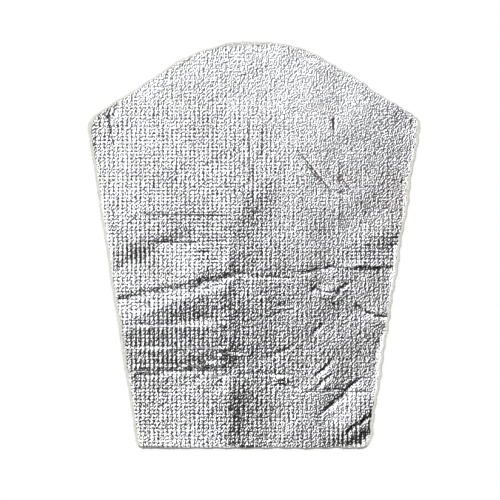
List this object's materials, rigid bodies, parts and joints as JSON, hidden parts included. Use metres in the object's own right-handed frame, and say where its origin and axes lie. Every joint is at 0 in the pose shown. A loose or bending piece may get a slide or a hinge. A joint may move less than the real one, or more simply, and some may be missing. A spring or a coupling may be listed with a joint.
{
  "type": "heat shield",
  "caption": "Flat tapered heat shield blank with a domed end, cut from woven glass cloth faced with embossed, creased aluminium foil.",
  "frame": {"origin": "under the middle of the blank, on the flat back of the cloth", "axes": "+Z out of the foil face, +Y from the straight base towards the domed end, +X across the blank"},
  "size_m": [0.1666, 0.204, 0.0025],
  "materials": {
    "glass_cloth": "off-white woven glass fibre with a soft cut edge",
    "aluminium_foil": "bright foil, embossed by the weave and creased"
  },
  "bodies": {
    "root": {"glass_cloth": "glass_cloth", "foil_face": "aluminium_foil"}
  },
  "joints": []
}
